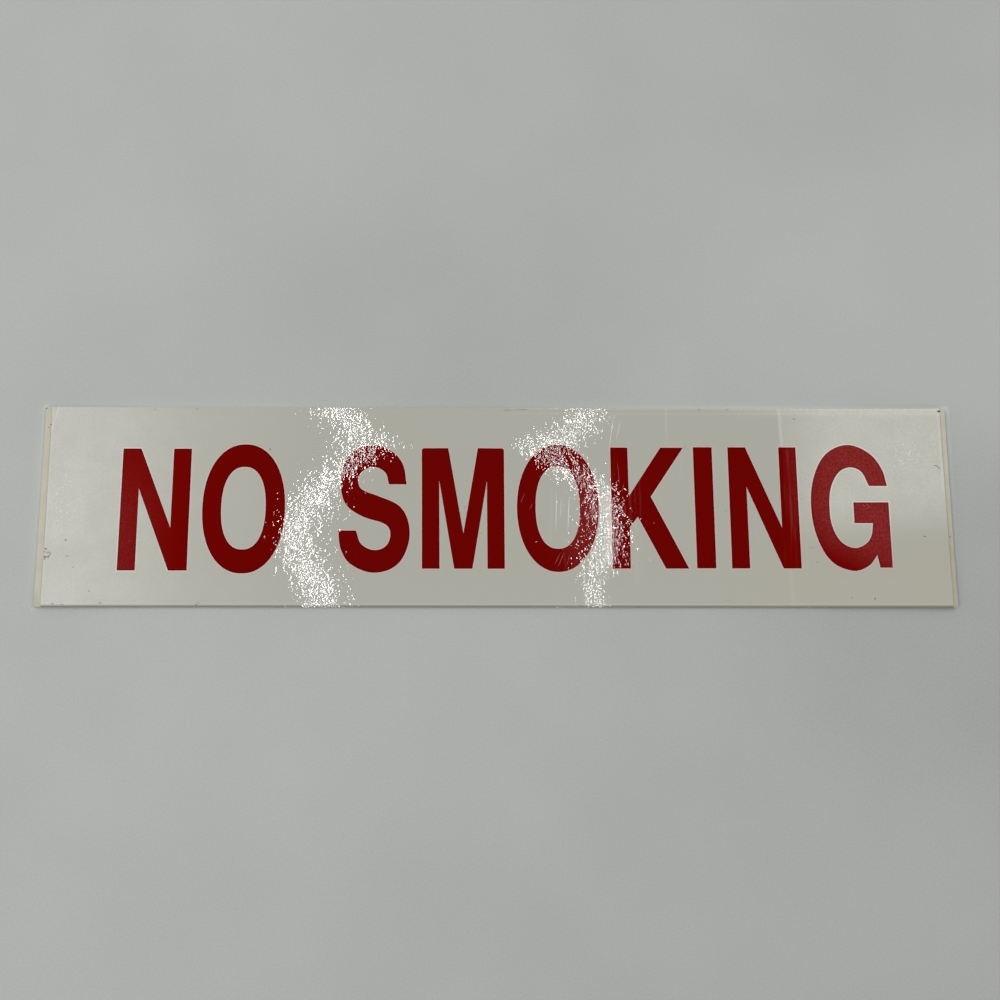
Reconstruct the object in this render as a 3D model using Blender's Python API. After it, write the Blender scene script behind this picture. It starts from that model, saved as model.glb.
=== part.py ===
"""A no smoking strip sign: a glossy self-adhesive vinyl film, lying face up on its release liner.

Metres, +Z up. +X runs along the words from left to right, +Y towards the tops of the letters.
The origin is under the middle of the strip, on the surface that it lies on.
Both sheets follow one surface, the glue surface: the film lies on it and the liner hangs below it.
"""

import math

import bmesh
import bpy
from mathutils import Vector

MM = 0.001
INCH = 0.0254

# The cut strip
STRIP_LENGTH = 13.5 * INCH
STRIP_WIDTH = 3.0 * INCH
LINER_THICKNESS = 0.18 * MM
FILM_THICKNESS = 0.27 * MM
GLUE_GAP = 0.02 * MM

# Bare liner past the ends of the film, which was laid a little out of square
BARE_LEFT_TOP = 2.3 * MM
BARE_LEFT_BOTTOM = 3.1 * MM
BARE_RIGHT_TOP = 1.9 * MM
BARE_RIGHT_BOTTOM = 1.75 * MM

# Long edges, rolled down by the shear that cut them: each rim stands on the table and lifts its margin
ROLL_REACH = 1.6 * MM
TOP_MARGIN_REACH = 16.0 * MM
TOP_MARGIN_LIFT = 0.22 * MM
BOTTOM_MARGIN_REACH = 20.0 * MM
BOTTOM_MARGIN_LIFT = 0.30 * MM

# Ends, bent up a little: the left one from a soft bend, the right one from the fold crease
LEFT_BEND_FROM_LEFT = 46.0 * MM
LEFT_END_LIFT = 0.35 * MM
RIGHT_END_LIFT = 0.70 * MM

# Creases across the strip, measured from its right end
FOLD_CREASE_FROM_RIGHT = 63.2 * MM
FOLD_CREASE_HEIGHT = 0.10 * MM
SHORT_CREASE_FROM_RIGHT = 106.6 * MM
SHORT_CREASE_HEIGHT = 0.08 * MM
SHORT_CREASE_LENGTH = 34.0 * MM
CREASE_HALF_WIDTH = 1.5 * MM

# Where the strip doesn't lie down: three broad low swells and a narrow ridge on the middle one.
# Each has its middle's distance from an end and a long edge, its half length, its half width and its height.
LEFT_SWELL_FROM_LEFT = 71.5 * MM
LEFT_SWELL_FROM_BOTTOM = 26.0 * MM
LEFT_SWELL_HALF_LENGTH = 50.0 * MM
LEFT_SWELL_HALF_WIDTH = 26.0 * MM
LEFT_SWELL_HEIGHT = 0.42 * MM
MIDDLE_SWELL_FROM_LEFT = 156.5 * MM
MIDDLE_SWELL_FROM_TOP = 13.0 * MM
MIDDLE_SWELL_HALF_LENGTH = 74.0 * MM
MIDDLE_SWELL_HALF_WIDTH = 20.0 * MM
MIDDLE_SWELL_HEIGHT = 0.84 * MM
RIGHT_SWELL_FROM_RIGHT = 105.5 * MM
RIGHT_SWELL_FROM_BOTTOM = 30.0 * MM
RIGHT_SWELL_HALF_LENGTH = 50.0 * MM
RIGHT_SWELL_HALF_WIDTH = 30.0 * MM
RIGHT_SWELL_HEIGHT = 0.34 * MM
RIDGE_FROM_LEFT = 158.5 * MM
RIDGE_FROM_TOP = 15.5 * MM
RIDGE_HALF_LENGTH = 36.0 * MM
RIDGE_HALF_WIDTH = 9.0 * MM
RIDGE_HEIGHT = 0.28 * MM

# Mesh fineness
CELL_LENGTH = 8.0 * MM
CELL_WIDTH = 4.5 * MM
ROLL_STEPS = 3

FILM_COLOUR = (0.41, 0.41, 0.36, 1.0)
LINER_COLOUR = (0.50, 0.48, 0.38, 1.0)


def clear_scene():
    for old in list(bpy.data.objects):
        bpy.data.objects.remove(old, do_unlink=True)


def make_collection(name):
    collection = bpy.data.collections.new(name)
    bpy.context.scene.collection.children.link(collection)
    return collection


def make_material(name, colour, roughness, coat=0.0):
    material = bpy.data.materials.new(name)
    material.use_nodes = True
    shader = material.node_tree.nodes["Principled BSDF"]
    shader.inputs["Base Color"].default_value = colour
    shader.inputs["Roughness"].default_value = roughness
    shader.inputs["Metallic"].default_value = 0.0
    shader.inputs["Coat Weight"].default_value = coat
    return material


def curl(share):
    """1 at an edge, easing to 0 where the share of its reach is 1."""
    return (1.0 - share) ** 2 if share < 1.0 else 0.0


def margin(from_edge, reach):
    """The rise of a margin towards its long edge, less the roll that takes the rim back down."""
    return curl(from_edge / reach) - curl(from_edge / ROLL_REACH)


def raised_cosine(share):
    """1 in the middle of a swell, 0 from where the share of its half size is 1."""
    return 0.5 + 0.5 * math.cos(math.pi * share) if abs(share) < 1.0 else 0.0


def swell(along, across, half_length, half_width):
    """A low mound, 1 in its middle, from the distances to its middle along and across the strip."""
    return raised_cosine(along / half_length) * raised_cosine(across / half_width)


def crease(offset):
    """A narrow ridge with a soft top, 1 on the line and 0 past its half width."""
    return curl(abs(offset) / CREASE_HALF_WIDTH)


def lift(x, y):
    """How far the strip is raised off the surface it lies on, at a place on it."""
    from_left = x + STRIP_LENGTH / 2
    from_right = STRIP_LENGTH / 2 - x
    from_top = STRIP_WIDTH / 2 - y
    from_bottom = y + STRIP_WIDTH / 2
    height = LEFT_END_LIFT * max(0.0, 1.0 - from_left / LEFT_BEND_FROM_LEFT)
    height += RIGHT_END_LIFT * max(0.0, 1.0 - from_right / FOLD_CREASE_FROM_RIGHT)
    height += FOLD_CREASE_HEIGHT * crease(from_right - FOLD_CREASE_FROM_RIGHT)
    short_share = raised_cosine(from_top / SHORT_CREASE_LENGTH)
    height += SHORT_CREASE_HEIGHT * short_share * crease(from_right - SHORT_CREASE_FROM_RIGHT)
    height += LEFT_SWELL_HEIGHT * swell(
        from_left - LEFT_SWELL_FROM_LEFT,
        from_bottom - LEFT_SWELL_FROM_BOTTOM,
        LEFT_SWELL_HALF_LENGTH,
        LEFT_SWELL_HALF_WIDTH,
    )
    height += MIDDLE_SWELL_HEIGHT * swell(
        from_left - MIDDLE_SWELL_FROM_LEFT,
        from_top - MIDDLE_SWELL_FROM_TOP,
        MIDDLE_SWELL_HALF_LENGTH,
        MIDDLE_SWELL_HALF_WIDTH,
    )
    height += RIGHT_SWELL_HEIGHT * swell(
        from_right - RIGHT_SWELL_FROM_RIGHT,
        from_bottom - RIGHT_SWELL_FROM_BOTTOM,
        RIGHT_SWELL_HALF_LENGTH,
        RIGHT_SWELL_HALF_WIDTH,
    )
    height += RIDGE_HEIGHT * swell(
        from_left - RIDGE_FROM_LEFT,
        from_top - RIDGE_FROM_TOP,
        RIDGE_HALF_LENGTH,
        RIDGE_HALF_WIDTH,
    )
    height += TOP_MARGIN_LIFT * margin(from_top, TOP_MARGIN_REACH)
    height += BOTTOM_MARGIN_LIFT * margin(from_bottom, BOTTOM_MARGIN_REACH)
    return height


def stations(low, high, step, wanted):
    """Places from low to high about a step apart, with every wanted place among them."""
    fixed = sorted({low, high, *(place for place in wanted if low < place < high)})
    places = [low]
    for start, end in zip(fixed, fixed[1:]):
        pieces = max(1, round((end - start) / step))
        places += [start + (end - start) * i / pieces for i in range(1, pieces + 1)]
    return places


def grid_places():
    """The columns and rows of the strip's mesh, closer together at its creases and rolled edges."""
    half_length = STRIP_LENGTH / 2
    half_width = STRIP_WIDTH / 2
    creases = [half_length - FOLD_CREASE_FROM_RIGHT, half_length - SHORT_CREASE_FROM_RIGHT]
    cross_lines = [line + side * CREASE_HALF_WIDTH for line in creases for side in (-1, 0, 1)]
    cross_lines.append(LEFT_BEND_FROM_LEFT - half_length)
    roll_lines = [half_width - ROLL_REACH * i / ROLL_STEPS for i in range(1, ROLL_STEPS + 1)]
    columns = stations(-half_length, half_length, CELL_LENGTH, cross_lines)
    rows = stations(-half_width, half_width, CELL_WIDTH, roll_lines + [-line for line in roll_lines])
    return columns, rows


def glue_surface():
    """The surface where the two sheets meet, as triangles, over the whole liner."""
    columns, rows = grid_places()
    mesh = bmesh.new()
    bmesh.ops.create_grid(mesh, x_segments=len(columns) - 1, y_segments=len(rows) - 1, size=0.5)
    for vert in mesh.verts:
        x = columns[round((vert.co.x + 0.5) * (len(columns) - 1))]
        y = rows[round((vert.co.y + 0.5) * (len(rows) - 1))]
        vert.co = (x, y, LINER_THICKNESS + lift(x, y))
    bmesh.ops.triangulate(mesh, faces=mesh.faces[:], quad_method="FIXED")
    return mesh


def trim(mesh, top, bottom, outward):
    """Cuts a surface along the upright plane through two points, and drops what lies outward of it."""
    along = Vector((top[0] - bottom[0], top[1] - bottom[1], 0.0))
    normal = Vector((along.y, -along.x, 0.0)) * outward
    bmesh.ops.bisect_plane(
        mesh,
        geom=mesh.verts[:] + mesh.edges[:] + mesh.faces[:],
        dist=GLUE_GAP / 100,
        plane_co=(bottom[0], bottom[1], 0.0),
        plane_no=normal,
        clear_outer=True,
    )


def add_sheet(collection, name, surface, rise, material):
    """Makes a solid sheet by drawing an open surface straight up, or down where the rise is negative.

    The cut edges stay upright, as the shear left them, and the rims stay level with the table.
    """
    drawn = bmesh.ops.extrude_face_region(surface, geom=surface.faces[:], use_keep_orig=True)
    moved = [item for item in drawn["geom"] if isinstance(item, bmesh.types.BMVert)]
    bmesh.ops.translate(surface, verts=moved, vec=(0.0, 0.0, rise))
    bmesh.ops.recalc_face_normals(surface, faces=surface.faces[:])
    mesh = bpy.data.meshes.new(name)
    surface.to_mesh(mesh)
    surface.free()
    mesh.materials.append(material)
    mesh.shade_smooth()
    mesh.set_sharp_from_angle(angle=math.radians(30))
    sheet = bpy.data.objects.new(name, mesh)
    collection.objects.link(sheet)
    return sheet


def make_liner(collection):
    material = make_material("liner", LINER_COLOUR, 0.6)
    return add_sheet(collection, "release_liner", glue_surface(), -LINER_THICKNESS, material)


def make_film(collection):
    half_length = STRIP_LENGTH / 2
    half_width = STRIP_WIDTH / 2
    surface = glue_surface()
    bmesh.ops.translate(surface, verts=surface.verts[:], vec=(0.0, 0.0, GLUE_GAP))
    left_top = (-half_length + BARE_LEFT_TOP, half_width)
    left_bottom = (-half_length + BARE_LEFT_BOTTOM, -half_width)
    right_top = (half_length - BARE_RIGHT_TOP, half_width)
    right_bottom = (half_length - BARE_RIGHT_BOTTOM, -half_width)
    trim(surface, left_top, left_bottom, -1)
    trim(surface, right_top, right_bottom, 1)
    material = make_material("film", FILM_COLOUR, 0.15, coat=0.5)
    return add_sheet(collection, "face_film", surface, FILM_THICKNESS, material)


def main():
    clear_scene()
    collection = make_collection("No smoking sign")
    make_liner(collection)
    make_film(collection)


main()
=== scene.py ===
"""Looks of the no smoking sign: fine sheets, printed capitals, finishes, floor, lamps and camera.

Metres, +Z up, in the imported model's own frame. +X runs along the words, +Y towards their tops.
Finishes, letters and marks are set out in millimetres from the middle of the strip.
"""

import math
import random

import bmesh
import bpy
from mathutils import Euler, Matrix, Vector


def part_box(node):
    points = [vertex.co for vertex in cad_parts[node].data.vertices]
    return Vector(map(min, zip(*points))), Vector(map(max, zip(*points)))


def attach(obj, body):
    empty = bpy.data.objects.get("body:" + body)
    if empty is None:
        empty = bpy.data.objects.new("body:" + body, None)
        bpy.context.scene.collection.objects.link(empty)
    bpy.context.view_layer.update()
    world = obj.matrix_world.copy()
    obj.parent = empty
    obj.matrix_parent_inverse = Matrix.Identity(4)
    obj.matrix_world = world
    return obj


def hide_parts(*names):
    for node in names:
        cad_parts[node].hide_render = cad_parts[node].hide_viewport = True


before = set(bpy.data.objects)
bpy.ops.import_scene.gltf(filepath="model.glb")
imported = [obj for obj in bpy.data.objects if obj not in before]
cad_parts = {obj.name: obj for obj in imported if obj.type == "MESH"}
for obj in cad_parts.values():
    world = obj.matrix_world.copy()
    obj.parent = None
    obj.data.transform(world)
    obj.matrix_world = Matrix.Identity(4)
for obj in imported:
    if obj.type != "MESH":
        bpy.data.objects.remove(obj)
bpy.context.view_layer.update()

MM = 0.001

liner_low, liner_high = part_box("release_liner")

# The cut strip, as in the CAD source
STRIP_LENGTH = liner_high[0] - liner_low[0]
STRIP_WIDTH = liner_high[1] - liner_low[1]
LINER_THICKNESS = 0.18 * MM
FILM_THICKNESS = 0.27 * MM
GLUE_GAP = 0.02 * MM
FILM_TOP = LINER_THICKNESS + GLUE_GAP + FILM_THICKNESS

# How far the film's corners stand back from the strip's ends
BARE_LEFT_TOP = 2.75 * MM
BARE_LEFT_BOTTOM = 2.75 * MM
BARE_RIGHT_TOP = 2.70 * MM
BARE_RIGHT_BOTTOM = 1.75 * MM

# How far the liner's top corners stand back, where the strip was cut a little out of square
LEFT_END_SKEW = 0.35 * MM
RIGHT_END_SKEW = 0.75 * MM

# Rolled long edges and lifted margins
ROLL_REACH = 1.6 * MM
TOP_MARGIN_REACH = 16.0 * MM
TOP_MARGIN_LIFT = 0.22 * MM
BOTTOM_MARGIN_REACH = 20.0 * MM
BOTTOM_MARGIN_LIFT = 0.30 * MM

# Ends bent up a little
LEFT_BEND_FROM_LEFT = 46.0 * MM
LEFT_END_LIFT = 0.35 * MM
RIGHT_END_LIFT = 0.70 * MM

# Creases across the strip
FOLD_CREASE_FROM_RIGHT = 63.2 * MM
FOLD_CREASE_HEIGHT = 0.10 * MM
SHORT_CREASE_FROM_RIGHT = 106.6 * MM
SHORT_CREASE_HEIGHT = 0.08 * MM
SHORT_CREASE_LENGTH = 34.0 * MM
CREASE_HALF_WIDTH = 1.5 * MM

# Low swells: middle from the left end, middle from the bottom edge, half length, half width, height
SWELLS = (
    (71.5 * MM, 26.0 * MM, 50.0 * MM, 26.0 * MM, 0.42 * MM),
    (156.5 * MM, STRIP_WIDTH - 13.0 * MM, 74.0 * MM, 20.0 * MM, 0.84 * MM),
    (STRIP_LENGTH - 105.5 * MM, 30.0 * MM, 50.0 * MM, 30.0 * MM, 0.34 * MM),
    (158.5 * MM, STRIP_WIDTH - 15.5 * MM, 36.0 * MM, 9.0 * MM, 0.28 * MM),
)

# Waves too faint to model, which only the gloss shows, given in the same way
FAINT_WAVES = (
    (221.5 * MM, 70.1 * MM, 40.0 * MM, 14.0 * MM, 0.22 * MM),
    (159.5 * MM, 52.1 * MM, 66.0 * MM, 11.0 * MM, 0.15 * MM),
    (207.0 * MM, 8.1 * MM, 16.0 * MM, 10.0 * MM, 0.08 * MM),
    (213.5 * MM, 0.0, 18.0 * MM, 8.0 * MM, 0.10 * MM),
)

# Mesh fineness, with angles in degrees
CELL_LENGTH = 1.5 * MM
CELL_WIDTH = 1.3 * MM
NORMAL_STEP = 0.05 * MM
CUT_TOLERANCE = 0.0001 * MM
CREASE_STATIONS = (0.0, 0.4 * MM, 0.8 * MM, CREASE_HALF_WIDTH)
ROLL_STATIONS = (0.15 * MM, 0.35 * MM, 0.6 * MM, 0.9 * MM, 1.2 * MM, ROLL_REACH)
SHARP_ANGLE = 30
FLAT_ANGLE = 1
UPWARD = 0.5

# Printed capitals: the pink bleed round the ink, its dark edge and the bead of ink inside that
CAP_HEIGHT = 45.7
INK_LEVEL = 0.016 * MM
INK_SPREAD = 0.16 * MM
INK_THICKNESS = 0.003 * MM
BLEED_WIDTH = 0.64 * MM
BLEED_LEVEL = 0.006 * MM
BEAD_WIDTH = 0.30 * MM
BEAD_LEVEL = 0.024 * MM
BEAD_THICKNESS = 0.004 * MM
MITRE_LIMIT = 0.35

# Colours
FILM_COLOUR = (0.409, 0.408, 0.359, 1.0)
FILM_YELLOW = (0.420, 0.404, 0.332, 1.0)
# Painted light and sheen: the pale colour at the film's left end and in its painted glints, streaks and
# highlights, the warm one past the fold
FILM_SHEEN_COLOUR = (1.0, 1.0, 0.96, 1.0)
WARM_SHEEN_COLOUR = (1.0, 0.98, 0.89, 1.0)
# Painted highlights along the film's rims
RIM_HIGHLIGHT_CREAM = (1.0, 0.97, 0.80, 1.0)
INK_COLOUR = (0.139, 0.0012, 0.0005, 1.0)
# The ink's red where more light falls, painted towards the left end and past the fold
INK_LIT_RED = (0.163, 0.0012, 0.0002, 1.0)
INK_EDGE_COLOUR = (0.056, 0.003, 0.003, 1.0)
# Painted sheen on the ink
INK_SHEEN_COLOUR = (1.0, 0.26, 0.26, 1.0)
BLEED_COLOUR = (0.60, 0.38, 0.34, 1.0)
# Painted shade on the lower part of the rolled bottom edge
ROLL_SHADE_COLOUR = (0.17, 0.155, 0.12, 1.0)
LINER_COLOUR = (0.490, 0.464, 0.372, 1.0)
LINER_SHADE = (0.330, 0.315, 0.235, 1.0)
FLOOR_COLOUR = (0.384, 0.393, 0.378, 1.0)
DARK_DIRT = (0.018, 0.016, 0.014, 1.0)
FAINT_DIRT = (0.20, 0.19, 0.155, 1.0)
SMUDGE_DIRT = (0.19, 0.18, 0.15, 1.0)
# Pale wear, also used for a painted highlight
PALE_WEAR_AND_HIGHLIGHT = (0.50, 0.50, 0.45, 1.0)
PINK_WEAR = (0.22, 0.030, 0.032, 1.0)
WHITE = (1.0, 1.0, 1.0, 1.0)

# Gloss and roughness
GLOSS_ROUGHNESS = 0.02
GLOSS_SPECULAR = 1.0
LINER_ROUGHNESS = 0.45
DIRT_ROUGHNESS = 0.6
WEAR_ROUGHNESS = 0.3
FLOOR_ROUGHNESS = 0.6
FLOOR_SPECULAR = 0.2
ORANGE_PEEL_DEPTH = 0.0122 * MM
WOBBLE_SHARE = 2.0
PAPER_DEPTH = 0.006 * MM


def curl(share):
    """1 at an edge, easing to 0 where the share of its reach is 1."""
    return (1.0 - share) ** 2 if share < 1.0 else 0.0


def raised_cosine(share):
    """1 in the middle of a swell, 0 from where the share of its half size is 1."""
    return 0.5 + 0.5 * math.cos(math.pi * share) if abs(share) < 1.0 else 0.0


def crease(offset):
    """A narrow ridge with a soft top, 1 on the line and 0 past its half width."""
    return curl(abs(offset) / CREASE_HALF_WIDTH)


def swells(x, y, places):
    """The summed rise of low swells at a place on the strip."""
    from_left = x + STRIP_LENGTH / 2
    from_bottom = y + STRIP_WIDTH / 2
    height = 0.0
    for middle_left, middle_bottom, half_length, half_width, rise in places:
        along = raised_cosine((from_left - middle_left) / half_length)
        height += rise * along * raised_cosine((from_bottom - middle_bottom) / half_width)
    return height


def smooth_lift(x, y):
    """How far the strip is raised off the floor at a place on it, but for its creases and rolled rims."""
    from_left = x + STRIP_LENGTH / 2
    from_right = STRIP_LENGTH / 2 - x
    height = LEFT_END_LIFT * max(0.0, 1.0 - from_left / LEFT_BEND_FROM_LEFT)
    height += RIGHT_END_LIFT * max(0.0, 1.0 - from_right / FOLD_CREASE_FROM_RIGHT)
    height += swells(x, y, SWELLS)
    height += TOP_MARGIN_LIFT * curl((STRIP_WIDTH / 2 - y) / TOP_MARGIN_REACH)
    height += BOTTOM_MARGIN_LIFT * curl((STRIP_WIDTH / 2 + y) / BOTTOM_MARGIN_REACH)
    return height


def lift(x, y):
    """How far the strip is raised off the floor at a place on it, as in the CAD source."""
    from_right = STRIP_LENGTH / 2 - x
    short_share = raised_cosine((STRIP_WIDTH / 2 - y) / SHORT_CREASE_LENGTH)
    height = FOLD_CREASE_HEIGHT * crease(from_right - FOLD_CREASE_FROM_RIGHT)
    height += SHORT_CREASE_HEIGHT * short_share * crease(from_right - SHORT_CREASE_FROM_RIGHT)
    height -= TOP_MARGIN_LIFT * curl((STRIP_WIDTH / 2 - y) / ROLL_REACH)
    height -= BOTTOM_MARGIN_LIFT * curl((STRIP_WIDTH / 2 + y) / ROLL_REACH)
    return height + smooth_lift(x, y)


def sheen_lift(x, y):
    """The relief that the gloss shows: the strip's own without its worn lines, and with faint waves."""
    return smooth_lift(x, y) + swells(x, y, FAINT_WAVES)


def stations(low, high, step, wanted):
    """Places from low to high about a step apart, with every wanted place among them."""
    fixed = sorted({low, high, *(place for place in wanted if low < place < high)})
    places = [low]
    for start, end in zip(fixed, fixed[1:]):
        pieces = max(1, round((end - start) / step))
        places += [start + (end - start) * i / pieces for i in range(1, pieces + 1)]
    return places


def grid_places():
    """The columns and rows of the sheets' mesh, closer together at creases and rolled edges."""
    creases = (
        STRIP_LENGTH / 2 - FOLD_CREASE_FROM_RIGHT,
        STRIP_LENGTH / 2 - SHORT_CREASE_FROM_RIGHT,
    )
    cross_lines = [line + side * step for line in creases for step in CREASE_STATIONS for side in (-1, 1)]
    cross_lines.append(LEFT_BEND_FROM_LEFT - STRIP_LENGTH / 2)
    roll_lines = [side * (STRIP_WIDTH / 2 - step) for step in ROLL_STATIONS for side in (-1, 1)]
    columns = stations(-STRIP_LENGTH / 2, STRIP_LENGTH / 2, CELL_LENGTH, cross_lines)
    rows = stations(-STRIP_WIDTH / 2, STRIP_WIDTH / 2, CELL_WIDTH, roll_lines)
    return columns, rows


COLUMNS, ROWS = grid_places()


def draped_sheet(level):
    """The strip's surface as a fine grid, a level above the liner's underside."""
    mesh = bmesh.new()
    bmesh.ops.create_grid(mesh, x_segments=len(COLUMNS) - 1, y_segments=len(ROWS) - 1, size=0.5)
    for vert in mesh.verts:
        x = COLUMNS[round((vert.co.x + 0.5) * (len(COLUMNS) - 1))]
        y = ROWS[round((vert.co.y + 0.5) * (len(ROWS) - 1))]
        vert.co = (x, y, level + lift(x, y))
    return mesh


def cut(mesh, place, normal, drop_outer=False):
    """Cuts a mesh along a plane and, if asked, drops what lies on the side that its normal points to."""
    bmesh.ops.bisect_plane(
        mesh,
        geom=mesh.verts[:] + mesh.edges[:] + mesh.faces[:],
        dist=CUT_TOLERANCE,
        plane_co=place,
        plane_no=normal,
        clear_outer=drop_outer,
    )


def trim_end(mesh, outward, back_at_top, back_at_bottom):
    """Cuts an end off, outward -1 at the left and 1 at the right, where the cut stands back from it."""
    top = outward * (STRIP_LENGTH / 2 - back_at_top)
    bottom = outward * (STRIP_LENGTH / 2 - back_at_bottom)
    normal = Vector((STRIP_WIDTH, bottom - top, 0.0)) * outward
    cut(mesh, (bottom, -STRIP_WIDTH / 2, 0.0), normal, drop_outer=True)


def true_normal(x, y):
    """The way the strip's gloss faces at a place on it."""
    step = NORMAL_STEP
    slope_x = (sheen_lift(x + step, y) - sheen_lift(x - step, y)) / (2 * step)
    slope_y = (sheen_lift(x, y + step) - sheen_lift(x, y - step)) / (2 * step)
    return Vector((-slope_x, -slope_y, 1.0)).normalized()


def set_true_normals(mesh):
    """Gives the upper faces the surface's own normals, so that reflections cross them unbroken."""
    normals = [Vector((0.0, 0.0, 0.0))] * len(mesh.loops)
    for face in mesh.polygons:
        if face.normal.z > UPWARD:
            for corner in face.loop_indices:
                place = mesh.vertices[mesh.loops[corner].vertex_index].co
                normals[corner] = true_normal(place.x, place.y)
    mesh.normals_split_custom_set(normals)


def add_piece(name, surface, rise, material):
    """Turns an open surface into a closed thin piece, drawn straight up or down, and rides it."""
    drawn = bmesh.ops.extrude_face_region(surface, geom=surface.faces[:], use_keep_orig=True)
    moved = [item for item in drawn["geom"] if isinstance(item, bmesh.types.BMVert)]
    bmesh.ops.translate(surface, verts=moved, vec=(0.0, 0.0, rise))
    bmesh.ops.recalc_face_normals(surface, faces=surface.faces[:])
    mesh = bpy.data.meshes.new(name)
    surface.to_mesh(mesh)
    surface.free()
    mesh.materials.append(material)
    mesh.shade_smooth()
    mesh.set_sharp_from_angle(angle=math.radians(SHARP_ANGLE))
    set_true_normals(mesh)
    piece = bpy.data.objects.new(name, mesh)
    bpy.context.scene.collection.objects.link(piece)
    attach(piece, "root")
    return piece


# Node helpers


def set_range(node, start, end, low, high):
    """Makes a Map Range node go from low to high as its value goes from start to end."""
    for name, number in (("From Min", start), ("From Max", end), ("To Min", low), ("To Max", high)):
        node.inputs[name].default_value = number


class Shading:
    """A material's node tree, with short calls for the nodes that the finishes use."""

    def __init__(self, name, roughness, specular=0.5):
        self.material = bpy.data.materials.new(name)
        self.material.use_nodes = True
        self.tree = self.material.node_tree
        self.shader = self.tree.nodes["Principled BSDF"]
        self.shader.inputs["Roughness"].default_value = roughness
        self.shader.inputs["Specular IOR Level"].default_value = specular
        where = self.tree.nodes.new("ShaderNodeTexCoord")
        self.place = self.scaled(where.outputs["Object"], 1.0 / MM)
        split = self.tree.nodes.new("ShaderNodeSeparateXYZ")
        self.tree.links.new(self.place, split.inputs[0])
        self.x, self.y = split.outputs["X"], split.outputs["Y"]

    def feed(self, socket, value):
        if isinstance(value, bpy.types.NodeSocket):
            self.tree.links.new(value, socket)
        else:
            socket.default_value = value

    def math(self, operation, first, second=0.0):
        node = self.tree.nodes.new("ShaderNodeMath")
        node.operation = operation
        self.feed(node.inputs[0], first)
        self.feed(node.inputs[1], second)
        return node.outputs[0]

    def scaled(self, vector, factor):
        node = self.tree.nodes.new("ShaderNodeVectorMath")
        node.operation = "SCALE"
        self.feed(node.inputs[0], vector)
        self.feed(node.inputs["Scale"], factor)
        return node.outputs[0]

    def total(self, first, *others):
        for other in others:
            first = self.math("ADD", first, other)
        return first

    def product(self, first, *others):
        for other in others:
            first = self.math("MULTIPLY", first, other)
        return first

    def above(self, value, start):
        """How far a value is above a start, and 0 below it."""
        return self.math("MAXIMUM", self.math("SUBTRACT", value, start), 0.0)

    def ramp(self, value, start, end, low=0.0, high=1.0):
        """Eases from low to high as a value goes from start to end."""
        node = self.tree.nodes.new("ShaderNodeMapRange")
        node.interpolation_type = "SMOOTHSTEP"
        self.feed(node.inputs["Value"], value)
        set_range(node, start, end, low, high)
        return node.outputs["Result"]

    def line(self, value, middle, half_width, share=1.0):
        """A share where a value is at its middle, easing to 0 at a half width from it."""
        offset = self.math("ABSOLUTE", self.math("SUBTRACT", value, middle))
        return self.ramp(offset, half_width, 0.0, 0.0, share)

    def patch(self, middle, reach, share=1.0):
        """A share in the middle of an oval patch, easing to 0 at its rim."""
        across = self.math("DIVIDE", self.math("SUBTRACT", self.x, middle[0]), reach[0])
        up = self.math("DIVIDE", self.math("SUBTRACT", self.y, middle[1]), reach[1])
        square = self.total(self.product(across, across), self.product(up, up))
        return self.ramp(square, 1.0, 0.0, 0.0, share)

    def patches(self, places):
        return self.total(*(self.patch(*place) for place in places))

    def slanted(self, along_x, along_y, offset):
        """A coordinate that grows along a slanted way, from a line across it."""
        return self.total(self.product(self.x, along_x), self.product(self.y, along_y), offset)

    def noise(self, grain, detail, stretch=(1.0, 1.0, 1.0)):
        """Noise whose features are about a grain of millimetres across."""
        squeeze = self.tree.nodes.new("ShaderNodeVectorMath")
        squeeze.operation = "MULTIPLY"
        squeeze.inputs[1].default_value = stretch
        self.tree.links.new(self.place, squeeze.inputs[0])
        node = self.tree.nodes.new("ShaderNodeTexNoise")
        node.inputs["Scale"].default_value = 1.0 / grain
        node.inputs["Detail"].default_value = detail
        self.tree.links.new(squeeze.outputs[0], node.inputs["Vector"])
        return node.outputs["Fac"]

    def mix(self, share, first, second):
        node = self.tree.nodes.new("ShaderNodeMix")
        node.data_type = "RGBA"
        factor, first_colour, second_colour = node.inputs[0], node.inputs[6], node.inputs[7]
        self.feed(factor, share)
        self.feed(first_colour, first)
        self.feed(second_colour, second)
        return node.outputs[2]

    def bump(self, height, depth):
        """Raises the surface by a height map, depth metres from its 0 to its 1."""
        node = self.tree.nodes.new("ShaderNodeBump")
        node.inputs["Distance"].default_value = depth
        self.tree.links.new(height, node.inputs["Height"])
        self.tree.links.new(node.outputs["Normal"], self.shader.inputs["Normal"])

    def colour(self, value):
        self.feed(self.shader.inputs["Base Color"], value)


# Edges of the strip and of the film, in millimetres
HALF_LENGTH = STRIP_LENGTH / 2 / MM
HALF_WIDTH = STRIP_WIDTH / 2 / MM
FILM_LEFT_SLOPE = (BARE_LEFT_BOTTOM - BARE_LEFT_TOP) / STRIP_WIDTH
FILM_LEFT = -HALF_LENGTH + (BARE_LEFT_TOP + BARE_LEFT_BOTTOM) / 2 / MM
FILM_RIGHT_SLOPE = (BARE_RIGHT_TOP - BARE_RIGHT_BOTTOM) / STRIP_WIDTH
FILM_RIGHT = HALF_LENGTH - (BARE_RIGHT_TOP + BARE_RIGHT_BOTTOM) / 2 / MM

# Finishes. A noise is its grain, its detail and how far each axis is squeezed. Shares and heights are
# where an easing starts and ends, and its values there. A line is its middle, half width and share.
# A patch is its middle, reach and share. A slant is what a step along X and Y adds, and an offset.

# Gloss
ORANGE_PEEL_NOISE = (0.72, 0.0, (0.85, 1.1, 1.0))
WOBBLE_NOISE = (2.6, 1.0)

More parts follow.
